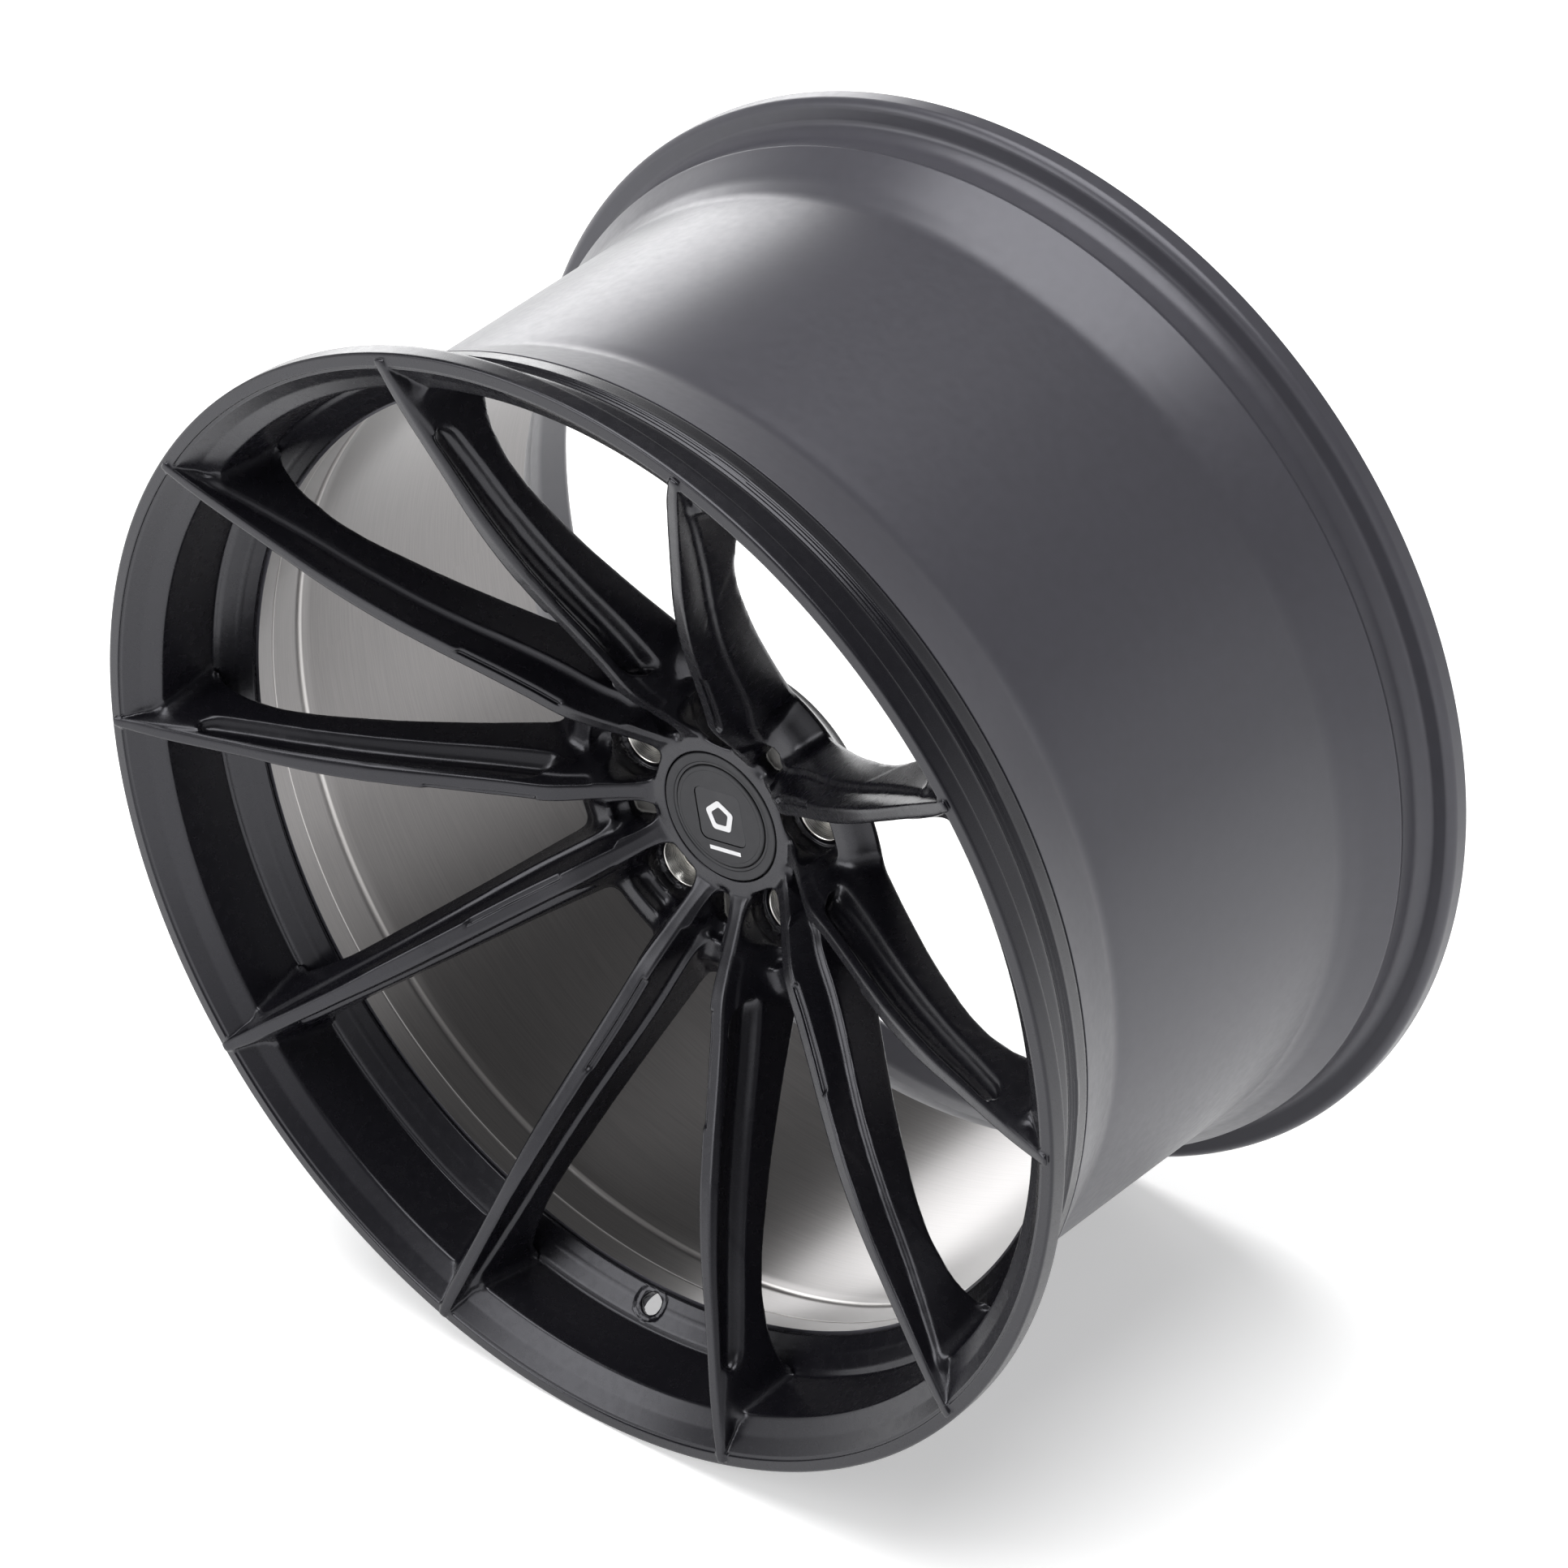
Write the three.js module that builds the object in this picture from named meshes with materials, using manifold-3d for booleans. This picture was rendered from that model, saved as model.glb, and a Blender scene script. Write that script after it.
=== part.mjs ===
// Forged racing wheel, 21 x 11.5, five lug holes on a 112 mm circle, ten slim spokes.
// Millimetres, +Z up. The wheel stands upright and its axle line is the Y axis:
// the open, dished face looks along -Y and the car side is +Y.
// Every station below is measured inboard from the plane of the front lip.
import * as THREE from 'three';
import { mergeVertices } from 'three/addons/utils/BufferGeometryUtils.js';
import Module from 'manifold-3d';

const wasm = await Module();
wasm.setup();

// ---- driving dimensions ----
const RIM_RADIUS = 286.4;
const RIM_WIDTH = 315.8;
const FLANGE_THICK = 11.85;
const BEAD_RADIUS = 269.1;
const TIP_PROUD = 2;
const SEGMENTS = 60;
const HUB_SEGMENTS = 40;
const GAP = 0.3;

const LUG_COUNT = 5;
const LUG_CIRCLE = 56;
const LUG_BORE_R = 14;
const LUG_COLLAR_R = 16.4;
const LUG_SEAT_Y = 127.5;
const LUG_CONE_Y = 135;
const LUG_BORE_Y = 140;
const BOLT_HOLE_R = 7.6;
const SPOKE_HALF_ANGLE = 17.49;

const HUB_FACE_Y = 117;
const HUB_RING_R = 41;
const HUB_LAND_R = 74;
const HUB_LAND_Y = 120;
const HUB_WEB_R = 85;
const HUB_WEB_Y = 111;
const HUB_PAD_R = 65.5;
const HUB_PAD_Y = 150.9;
const CENTRE_BORE_R = 33.3;
const CAP_BORE_R = 31.2;
const CAP_RECESS_R = 34.3;
const CAP_RECESS_Y = 121.2;
const CAP_SHOULDER_Y = 132;

const CAP_SKIRT_R = 30.8;
const CAP_SKIRT_IN_R = 28.6;
const CAP_SKIRT_Y = 131.4;
const CAP_WELL_R = 27.3;
const CAP_FLOOR_Y = 119.3;
const CAP_FLOOR_BACK_Y = 121.6;
const CAP_SLOT_WIDE = 7;
const CAP_SLOT_TALL = 8.5;
const DISC_R = 27;
const DISC_Y = 117;
const DISC_THICK = 2;
const PLATE_HALF = 14;
const PLATE_CORNER = 4;
const PLATE_Y = 117.5;
const PLATE_THICK = 0.5;
const EMBLEM_R = 9;
const EMBLEM_IN_R = 5.2;
const EMBLEM_Y = 116.9;
const EMBLEM_THICK = 0.3;
const BADGE_TILT = 8.5;

const SEAM_OUT_R = 264.8;
const SEAM_MID_R = 252.5;
const SEAM_IN_R = 244.4;
const SEAM_OUT_Y = 53.5;
const SEAM_IN_Y = 59.3;

const POCKET_CENTRE_R = 54.6;
const POCKET_HALF_LONG = 9;
const POCKET_HALF_WIDE = 5.8;
const POCKET_CORNER = 3;
const POCKET_OPEN_Y = 116;
const POCKET_FLOOR_Y = 124.2;

const VALVE_HOLE_R = 5.7;
const VALVE_SPOT_R = 9;
const VALVE_AT_R = 251.2;
const VALVE_AT_Y = 52.2;
const VALVE_BACK_R = 10.5;
const VALVE_WALL = 5;
const VALVE_REACH = 30;
const CAP_R = 33.7;

const CENTRE_Y = (RIM_WIDTH - TIP_PROUD) / 2;
const DEG = Math.PI / 180;

// ---- materials ----
const satinBlack = new THREE.MeshStandardMaterial({ color: 0x1c1c20, roughness: 0.42, metalness: 0.35 });
const barrelBlack = new THREE.MeshStandardMaterial({ color: 0x2b2c30, roughness: 0.38, metalness: 0.5 });
const seatMetal = new THREE.MeshStandardMaterial({ color: 0xc9c6bf, roughness: 0.3, metalness: 1 });
const capBlack = new THREE.MeshStandardMaterial({ color: 0x232327, roughness: 0.45, metalness: 0.2 });
const discGrey = new THREE.MeshStandardMaterial({ color: 0x2a2a2e, roughness: 0.35, metalness: 0.3 });
const plateGrey = new THREE.MeshStandardMaterial({ color: 0x303034, roughness: 0.4, metalness: 0.3 });
const emblemWhite = new THREE.MeshStandardMaterial({ color: 0xe8e8ea, roughness: 0.5, metalness: 0 });

// ---- mesh helpers ----
function toSolid(geometry) {
  const bare = geometry.clone();
  bare.deleteAttribute('normal');
  bare.deleteAttribute('uv');
  const merged = mergeVertices(bare, 1e-4);
  const position = merged.attributes.position;
  const index = Uint32Array.from(merged.index.array);
  let volume = 0;
  const a = new THREE.Vector3();
  const b = new THREE.Vector3();
  const c = new THREE.Vector3();
  for (let i = 0; i < index.length; i += 3) {
    a.fromBufferAttribute(position, index[i]);
    b.fromBufferAttribute(position, index[i + 1]);
    c.fromBufferAttribute(position, index[i + 2]);
    volume += a.dot(b.cross(c));
  }
  if (volume < 0) {
    for (let i = 0; i < index.length; i += 3) {
      const swap = index[i + 1];
      index[i + 1] = index[i + 2];
      index[i + 2] = swap;
    }
  }
  const vertProperties = Float32Array.from(position.array);
  return new wasm.Manifold(new wasm.Mesh({ numProp: 3, vertProperties, triVerts: index }));
}

function toGeometry(solid) {
  const mesh = solid.getMesh();
  const geometry = new THREE.BufferGeometry();
  geometry.setAttribute('position', new THREE.BufferAttribute(new Float32Array(mesh.vertProperties), 3));
  geometry.setIndex(new THREE.BufferAttribute(new Uint32Array(mesh.triVerts), 1));
  geometry.computeVertexNormals();
  return geometry;
}

// A closed ring-shaped section [radius, station] turned about the axle, flats at the four quarters.
function turned(section, segments = SEGMENTS) {
  const spread = 1 / Math.cos(Math.PI / segments);
  const points = section.map(([r, y]) => new THREE.Vector2(r * spread, y));
  points.push(points[0].clone());
  const geometry = new THREE.LatheGeometry(points, segments, Math.PI / segments);
  return toSolid(geometry);
}

// A solid skin through equal-length rings of points.
function lofted(rings, capOutline) {
  const count = rings[0].length;
  const positions = [];
  const index = [];
  for (const ring of rings) {
    for (const p of ring) {
      positions.push(p.x, p.y, p.z);
    }
  }
  for (let k = 0; k + 1 < rings.length; k += 1) {
    for (let i = 0; i < count; i += 1) {
      const j = (i + 1) % count;
      const a = k * count + i;
      const b = k * count + j;
      const c = (k + 1) * count + j;
      const d = (k + 1) * count + i;
      index.push(a, b, c, a, c, d);
    }
  }
  const last = (rings.length - 1) * count;
  for (const face of THREE.ShapeUtils.triangulateShape(capOutline[0], [])) {
    index.push(face[2], face[1], face[0]);
  }
  for (const face of THREE.ShapeUtils.triangulateShape(capOutline[1], [])) {
    index.push(last + face[0], last + face[1], last + face[2]);
  }
  const geometry = new THREE.BufferGeometry();
  geometry.setAttribute('position', new THREE.Float32BufferAttribute(positions, 3));
  geometry.setIndex(index);
  return toSolid(geometry);
}

// Straight interpolation in a list of [x, value] stations.
function along(table, x) {
  if (x <= table[0][0]) {
    return table[0][1];
  }
  for (let i = 0; i + 1 < table.length; i += 1) {
    const [x0, v0] = table[i];
    const [x1, v1] = table[i + 1];
    if (x <= x1) {
      return v0 + ((v1 - v0) * (x - x0)) / (x1 - x0);
    }
  }
  return table[table.length - 1][1];
}

// A round bar or hole along the axle direction at polar position (radius, degrees).
function drill(r0, r1, y0, y1, radius, degrees, segments = 24) {
  const geometry = new THREE.CylinderGeometry(r1, r0, y1 - y0, segments);
  geometry.translate(0, (y0 + y1) / 2, 0);
  const x = radius * Math.cos(degrees * DEG);
  const z = radius * Math.sin(degrees * DEG);
  geometry.translate(x, 0, z);
  return toSolid(geometry);
}

// ---- one spoke ----
// Side profile of the ridge and of the back edge, and the half widths of the section.
const RIDGE_Y = [[36, 117.6], [41, 117], [45, 114.5], [60, 102], [70, 93], [80, 85], [100, 74.4], [120, 63.5],
  [140, 52.3], [160, 41.8], [180, 32.6], [200, 24.6], [220, 17.8], [240, 11], [260, 4.5], [275, 0.2],
  [285, -TIP_PROUD]];
const BACK_Y = [[36, 149], [60, 149.5], [80, 135], [100, 118], [120, 103.5], [140, 89.8], [160, 76.5],
  [180, 64.5], [200, 53.5], [220, 45.5], [240, 41.5], [250, 42.5], [262, 43], [267, 14],
  [268, 10.5], [285, 6]];
const RIDGE_W = [[36, 16], [44, 9.5], [56, 7.6], [80, 9], [100, 9.2], [140, 8.3], [200, 7.1], [260, 6.2],
  [285, 5]];
const LEAN = [[36, 2.2], [60, 2.8], [100, 3.2], [285, 0]];
const LEDGE_IN = [[36, 11.5], [60, 12.5], [100, 12], [150, 9.6], [200, 6.8], [240, 5], [262, 4.2], [285, 2.6]];
const LEDGE_OUT = [[36, 14.5], [60, 15.6], [100, 15.1], [150, 12.4], [200, 9.4], [240, 7.4], [262, 6],
  [285, 2.9]];
const LEDGE_DEPTH = [[36, 8], [60, 15], [100, 15.5], [150, 13.5], [200, 12.5], [240, 9], [262, 6],
  [285, 2]];
const LEDGE_DROP = [[36, 3], [100, 4], [240, 3.5], [262, 2.5], [285, 1]];
const BACK_NEAR = [[36, 17], [60, 19], [100, 18], [140, 16.3], [180, 14.6], [220, 13], [250, 13.5], [262, 12],
  [271, 5], [285, 2.8]];
const BACK_FAR = [[36, 13], [60, 14], [100, 13], [140, 11], [180, 10.5], [220, 10.7], [250, 12.5], [262, 11],
  [271, 5], [285, 2.8]];
const POCKET_TOP = [[36, 2], [60, 2.6], [100, 3.2], [200, 4.6], [240, 4.6], [262, 4], [285, 2.7]];
const POCKET_LIP = [[36, 9], [60, 9.5], [100, 8.8], [200, 8], [240, 7.6], [262, 6.5], [285, 2.75]];
const POCKET_HEIGHT = [[36, 13], [60, 17], [100, 18], [150, 17], [200, 14], [240, 10], [262, 6], [285, 1.6]];
const POCKET_DEPTH = [[36, 0], [91, 0], [97, 3.2], [150, 3.4], [240, 2.8], [246, 0], [285, 0]];
const NOTCH_DEPTH = [[36, 0], [85, 0], [89, 1.8], [131, 1.8], [135, 0], [285, 0]];
const NOTCH_WIDTH = 2.6;

// Section at radius r as [side, station] pairs; side is positive towards the wider window.
function spokeSection(r) {
  const front = along(RIDGE_Y, r);
  const back = along(BACK_Y, r);
  const lean = along(LEAN, r);
  const half = along(RIDGE_W, r) / 2;
  const notch = along(NOTCH_DEPTH, r);
  const depth = along(LEDGE_DEPTH, r);
  const drop = along(LEDGE_DROP, r);
  const pocket = along(POCKET_DEPTH, r);
  const tall = along(POCKET_HEIGHT, r) + 4;
  const fit = Math.min(1, (back - front) / (tall + 8));
  const top = -along(POCKET_TOP, r);
  const lip = -along(POCKET_LIP, r);
  const cut = Math.min(1, pocket / 3);
  const foot = (top + (lip - top) * 0.83) * (1 - cut) + (top + pocket - 0.8) * cut;
  return [
    [lean - half, front],
    [lean + half - NOTCH_WIDTH, front],
    [lean + half - NOTCH_WIDTH + 0.3, front + 0.15 + notch],
    [lean + half, front + 0.3 + notch],
    [along(LEDGE_IN, r), front + depth * fit],
    [along(LEDGE_OUT, r), front + (depth + drop) * fit],
    [along(BACK_NEAR, r), back],
    [-along(BACK_FAR, r), back],
    [lip, front + tall * fit],
    [foot, front + tall * 0.87 * fit],
    [top + pocket, front + tall * 0.3 * fit],
    [top, front + tall * 0.21 * fit],
  ];
}

function spoke(degrees, side) {
  const stations = [37, 44, 58, 72, 86, 89, 96, 131, 135, 160, 185, 210, 240, 246, 262, 267, 268, 285];
  const turn = degrees * DEG;
  const outline = [];
  const rings = stations.map((r, k) => {
    const section = spokeSection(r);
    if (k === 0 || k === stations.length - 1) {
      outline.push(section.map(([s, y]) => new THREE.Vector2(s, y)));
    }
    return section.map(([s, y]) => {
      const across = s * side;
      const x = r * Math.cos(turn) - across * Math.sin(turn);
      const z = r * Math.sin(turn) + across * Math.cos(turn);
      return new THREE.Vector3(x, y, z);
    });
  });
  return lofted(rings, outline);
}

// ---- forged centre: lip, hub and ten spokes in one forging ----
const lipSection = [
  [RIM_RADIUS, 0.7], [RIM_RADIUS, 9.2], [283.4, FLANGE_THICK], [273.6, FLANGE_THICK],
  [270.4, 13.4], [BEAD_RADIUS, 17], [267.9, 39], [SEAM_OUT_R, SEAM_OUT_Y],
  [SEAM_MID_R, SEAM_OUT_Y], [SEAM_MID_R, SEAM_IN_Y], [SEAM_IN_R, SEAM_IN_Y], [257.7, 45.6], [260.6, 44.7],
  [264.6, 13.9], [271.4, 7.9], [279, 1], [279.6, 0], [285.7, 0],
];
const hubSection = [
  [CAP_RECESS_R, HUB_FACE_Y], [HUB_RING_R - 1, HUB_FACE_Y], [HUB_RING_R, HUB_FACE_Y + 1],
  [HUB_RING_R + 0.5, HUB_LAND_Y], [HUB_LAND_R, HUB_LAND_Y], [HUB_LAND_R + 0.5, HUB_WEB_Y],
  [HUB_WEB_R, HUB_WEB_Y], [HUB_WEB_R + 12, HUB_WEB_Y + 9.5], [HUB_WEB_R - 5, HUB_PAD_Y - 16],
  [HUB_PAD_R + 1, HUB_PAD_Y - 4], [HUB_PAD_R, HUB_PAD_Y], [CENTRE_BORE_R + 1.4, HUB_PAD_Y],
  [CENTRE_BORE_R, HUB_PAD_Y - 1.4], [CENTRE_BORE_R, CAP_SHOULDER_Y + 1], [CAP_BORE_R, CAP_SHOULDER_Y],
  [CAP_BORE_R, CAP_RECESS_Y], [CAP_RECESS_R, CAP_RECESS_Y],
];
let centre = turned(lipSection).add(turned(hubSection, HUB_SEGMENTS));
const lugAngles = [];
for (let k = 0; k < LUG_COUNT; k += 1) {
  const lug = 90 - (k * 360) / LUG_COUNT;
  lugAngles.push(lug);
  centre = centre.add(spoke(lug - SPOKE_HALF_ANGLE, -1));
  centre = centre.add(spoke(lug + SPOKE_HALF_ANGLE, 1));
}

// Lug pockets, bolt holes and the small machined pockets between them.
function boxPocket(degrees) {
  const shape = new THREE.Shape();
  const w = POCKET_HALF_WIDE;
  const h = POCKET_HALF_LONG;
  const c = POCKET_CORNER;
  shape.moveTo(-w + c, -h);
  shape.lineTo(w - c, -h);
  shape.lineTo(w, -h + c);
  shape.lineTo(w, h - c);
  shape.lineTo(w - c, h);
  shape.lineTo(-w + c, h);
  shape.lineTo(-w, h - c);
  shape.lineTo(-w, -h + c);
  shape.closePath();
  const depth = POCKET_FLOOR_Y - POCKET_OPEN_Y;
  const geometry = new THREE.ExtrudeGeometry(shape, { depth, bevelEnabled: false });
  geometry.rotateX(-Math.PI / 2);
  geometry.translate(0, POCKET_OPEN_Y, 0);
  geometry.rotateY(Math.PI);
  const turn = new THREE.Matrix4().makeRotationY((90 - degrees) * DEG);
  geometry.translate(0, 0, POCKET_CENTRE_R);
  geometry.applyMatrix4(turn);
  return toSolid(geometry);
}
for (const lug of lugAngles) {
  centre = centre.subtract(drill(LUG_COLLAR_R, LUG_COLLAR_R, 110, LUG_SEAT_Y - GAP, LUG_CIRCLE, lug));
  centre = centre.subtract(drill(LUG_BORE_R, LUG_BORE_R, 120, LUG_BORE_Y, LUG_CIRCLE, lug));
  centre = centre.subtract(drill(BOLT_HOLE_R + 0.6, BOLT_HOLE_R + 0.6, 135, 160, LUG_CIRCLE, lug, 20));
  centre = centre.subtract(boxPocket(lug + 180 / LUG_COUNT));
}
const capOpening = turned([[0, 110], [CAP_RECESS_R, 110], [CAP_RECESS_R, CAP_RECESS_Y],
  [CAP_BORE_R, CAP_RECESS_Y], [CAP_BORE_R, CAP_SHOULDER_Y], [CENTRE_BORE_R, CAP_SHOULDER_Y + 1],
  [CENTRE_BORE_R, HUB_PAD_Y + 5], [0, HUB_PAD_Y + 5]], HUB_SEGMENTS);
centre = centre.subtract(capOpening);

// Valve hole, square to the 45 degree cone band at the lowest wide window, and its tyre side pocket.
function valveTool(radius, from, to) {
  const geometry = new THREE.CylinderGeometry(radius, radius, to - from, 24);
  geometry.translate(0, (from + to) / 2, 0);
  geometry.rotateX(-Math.PI / 4);
  geometry.translate(0, VALVE_AT_Y, -VALVE_AT_R);
  return toSolid(geometry);
}
const valveHole = valveTool(VALVE_HOLE_R, -VALVE_REACH, VALVE_REACH);
const valvePocket = valveTool(VALVE_BACK_R, VALVE_WALL, VALVE_REACH);
const valveSpot = valveTool(VALVE_SPOT_R, -VALVE_REACH, 0.6);
centre = centre.subtract(valveHole).subtract(valveSpot).subtract(valvePocket);

// ---- barrel: drop well, long tyre well and rear flange ----
const REAR = RIM_WIDTH;
const barrelSection = [
  [SEAM_OUT_R, SEAM_OUT_Y + GAP], [251.8, 90.3], [252.3, 100], [256.8, 256], [261, 267.5],
  [269.6, 283.5], [270.1, 298.4], [274, REAR - FLANGE_THICK], [283.4, REAR - FLANGE_THICK],
  [RIM_RADIUS, REAR - 9.2], [RIM_RADIUS, REAR - 0.7], [285.7, REAR],
  [272.5, REAR], [266.6, REAR - 5], [264.4, 286], [260.6, 275], [251.2, 259],
  [249.2, 92.4], [246.9, 71.5], [SEAM_IN_R, SEAM_IN_Y + GAP], [SEAM_MID_R + GAP, SEAM_IN_Y + GAP],
  [SEAM_MID_R + GAP, SEAM_OUT_Y + GAP],
];
const barrel = turned(barrelSection).subtract(valveHole).subtract(valvePocket);

// ---- lug seat: bare metal cone seat pressed into each lug pocket ----
const seatSection = [
  [LUG_BORE_R - GAP, LUG_SEAT_Y], [LUG_BORE_R - GAP, LUG_BORE_Y - GAP], [BOLT_HOLE_R, LUG_BORE_Y - GAP],
  [BOLT_HOLE_R, LUG_CONE_Y],
  [LUG_BORE_R - 1, LUG_SEAT_Y],
];
const lugSeat = toGeometry(turned(seatSection, 24));

// ---- snap-in centre cap ----
const capSection = [
  [CAP_WELL_R, 117.9], [29.6, 117.9], [30.2, 116.9], [CAP_R - 0.6, 116.8], [CAP_R, 117.4],
  [CAP_R, CAP_RECESS_Y - GAP], [CAP_SKIRT_R, CAP_RECESS_Y - GAP], [CAP_SKIRT_R, CAP_SKIRT_Y],
  [CAP_SKIRT_IN_R, CAP_SKIRT_Y], [CAP_SKIRT_IN_R, CAP_FLOOR_BACK_Y], [CAP_WELL_R, 121],
];
const capFloor = turned([[0, CAP_FLOOR_Y], [CAP_WELL_R + 0.7, CAP_FLOOR_Y],
  [CAP_WELL_R + 0.7, CAP_FLOOR_BACK_Y], [0, CAP_FLOOR_BACK_Y]], HUB_SEGMENTS);
let capBody = turned(capSection, HUB_SEGMENTS).add(capFloor);
for (let k = 0; k < 5; k += 1) {
  const slot = new THREE.BoxGeometry(CAP_SLOT_WIDE, CAP_SLOT_TALL, 12);
  slot.translate(0, 127.4, 30);
  slot.rotateY(k * 72 * DEG);
  capBody = capBody.subtract(toSolid(slot));
}
const capDisc = turned([[0, DISC_Y], [DISC_R, DISC_Y], [DISC_R, DISC_Y + DISC_THICK],
  [0, DISC_Y + DISC_THICK]], HUB_SEGMENTS);

function roundedSquare(half, corner) {
  const shape = new THREE.Shape();
  const inner = half - corner;
  shape.moveTo(half, -inner);
  shape.absarc(inner, inner, corner, 0, Math.PI / 2);
  shape.absarc(-inner, inner, corner, Math.PI / 2, Math.PI);
  shape.absarc(-inner, -inner, corner, Math.PI, 1.5 * Math.PI);
  shape.absarc(inner, -inner, corner, 1.5 * Math.PI, 2 * Math.PI);
  return shape;
}
function facePlate(shape, y, thick) {
  const geometry = new THREE.ExtrudeGeometry(shape, { depth: thick, bevelEnabled: false, curveSegments: 5 });
  geometry.rotateX(Math.PI / 2);
  geometry.translate(0, y + thick, 0);
  geometry.rotateY(-BADGE_TILT * DEG);
  return geometry;
}
const plateWell = roundedSquare(PLATE_HALF + GAP, PLATE_CORNER + GAP);
const plateCut = toSolid(facePlate(plateWell, PLATE_Y - 1.5, 1.5 + PLATE_THICK + GAP));
const discBody = capDisc.subtract(plateCut);
const badgePlate = facePlate(roundedSquare(PLATE_HALF, PLATE_CORNER), PLATE_Y, PLATE_THICK);
const pentagon = new THREE.Shape();
const hole = new THREE.Path();
for (let k = 0; k < 5; k += 1) {
  const a = (90 + 72 * k) * DEG;
  const action = k === 0 ? 'moveTo' : 'lineTo';
  pentagon[action](EMBLEM_R * Math.cos(a), EMBLEM_R * Math.sin(a));
  hole[action](EMBLEM_IN_R * Math.cos(-a), EMBLEM_IN_R * Math.sin(-a));
}
pentagon.closePath();
hole.closePath();
pentagon.holes.push(hole);
const emblem = facePlate(pentagon, EMBLEM_Y, EMBLEM_THICK);

// ---- scene graph ----
const wheel = new THREE.Group();
wheel.position.set(0, -CENTRE_Y, 0);
function place(parent, name, geometry, material, x = 0, z = 0) {
  const mesh = new THREE.Mesh(geometry, material);
  mesh.name = name;
  mesh.position.set(x, 0, z);
  parent.add(mesh);
  return mesh;
}
place(wheel, 'forged_centre', toGeometry(centre), satinBlack);
place(wheel, 'barrel', toGeometry(barrel), barrelBlack);
lugAngles.forEach((lug, k) => {
  const x = LUG_CIRCLE * Math.cos(lug * DEG);
  const z = LUG_CIRCLE * Math.sin(lug * DEG);
  place(wheel, `lug_seat_${k + 1}`, lugSeat.clone(), seatMetal, x, z);
});
const cap = new THREE.Group();
wheel.add(cap);
place(cap, 'cap_body', toGeometry(capBody), capBlack);
place(cap, 'cap_disc', toGeometry(discBody), discGrey);
place(cap, 'cap_badge_plate', badgePlate, plateGrey);
place(cap, 'cap_emblem', emblem, emblemWhite);

const group = new THREE.Group();
group.add(wheel);
export default group;
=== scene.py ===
import math

import bmesh
import bpy
import numpy as np
from mathutils import Matrix, Vector


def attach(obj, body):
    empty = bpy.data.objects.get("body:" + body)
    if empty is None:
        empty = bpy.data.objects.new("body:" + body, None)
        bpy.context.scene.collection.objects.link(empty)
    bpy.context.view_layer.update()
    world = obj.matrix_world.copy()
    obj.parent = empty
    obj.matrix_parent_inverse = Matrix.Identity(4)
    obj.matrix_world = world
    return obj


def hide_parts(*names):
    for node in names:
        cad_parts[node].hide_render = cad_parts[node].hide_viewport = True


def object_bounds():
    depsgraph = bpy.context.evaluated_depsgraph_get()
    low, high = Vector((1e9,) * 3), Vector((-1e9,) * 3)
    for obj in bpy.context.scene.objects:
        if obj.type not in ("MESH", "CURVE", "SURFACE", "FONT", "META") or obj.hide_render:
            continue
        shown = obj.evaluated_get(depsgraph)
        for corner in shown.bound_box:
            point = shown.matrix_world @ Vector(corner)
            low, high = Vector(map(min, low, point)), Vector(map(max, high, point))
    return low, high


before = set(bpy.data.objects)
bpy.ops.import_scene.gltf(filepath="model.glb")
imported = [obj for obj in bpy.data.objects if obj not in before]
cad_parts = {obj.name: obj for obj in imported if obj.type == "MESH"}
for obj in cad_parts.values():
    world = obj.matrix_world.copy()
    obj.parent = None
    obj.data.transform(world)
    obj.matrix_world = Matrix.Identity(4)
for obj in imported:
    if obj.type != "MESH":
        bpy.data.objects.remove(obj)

CAD_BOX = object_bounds()

# ---- the wheel's own units: millimetres, r from the axle, y (station) inboard from the lip plane ----
MM = 0.001
TIP_PROUD = 2.0
TIP_R = 285.0
CROWDED_R = 112.0
FRONT_PLANE = CAD_BOX[0][1] + TIP_PROUD * MM
RIM_RADIUS = 286.4
REAR = 315.8
DEG = math.pi / 180

LUGS = 5
LUG_CIRCLE = 56.0
FIRST_LUG = 90.0
WEDGE = 36.0 * DEG
SPOKE_AT = 17.49 * DEG
LAND_Y = 120.0
PAD_Y = 150.9
VALVE_R, VALVE_Y = 251.2, 52.2
VALVE_HOLE, VALVE_SPOT, VALVE_BACK = 5.7, 9.0, 10.5
VALVE_WALL = 5.0
ROOT_HALF = math.sqrt(0.5)
SEAT_FOOT_Y = 139.7
PLATE_TILT = 8.5


def curve(*points):
    """A smooth curve through (x, value) points that never overshoots between them."""
    x, v = np.array(points, float).T
    step = np.diff(x)
    rise = np.diff(v) / step
    slope = np.zeros_like(x)
    slope[0], slope[-1] = rise[0], rise[-1]
    for i in range(1, len(x) - 1):
        if rise[i - 1] * rise[i] > 0:
            a = 2 * step[i] + step[i - 1]
            b = step[i] + 2 * step[i - 1]
            slope[i] = (a + b) / (a / rise[i - 1] + b / rise[i])

    def value(q):
        q = np.clip(q, x[0], x[-1])
        i = np.clip(np.searchsorted(x, q, side="right") - 1, 0, len(x) - 2)
        t = (q - x[i]) / step[i]
        start, end = v[i], v[i + 1]
        out, into = slope[i] * step[i], slope[i + 1] * step[i]
        rise_all = end - start
        return start + t * (out + t * (3 * rise_all - 2 * out - into + t * (out + into - 2 * rise_all)))

    return value


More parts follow.
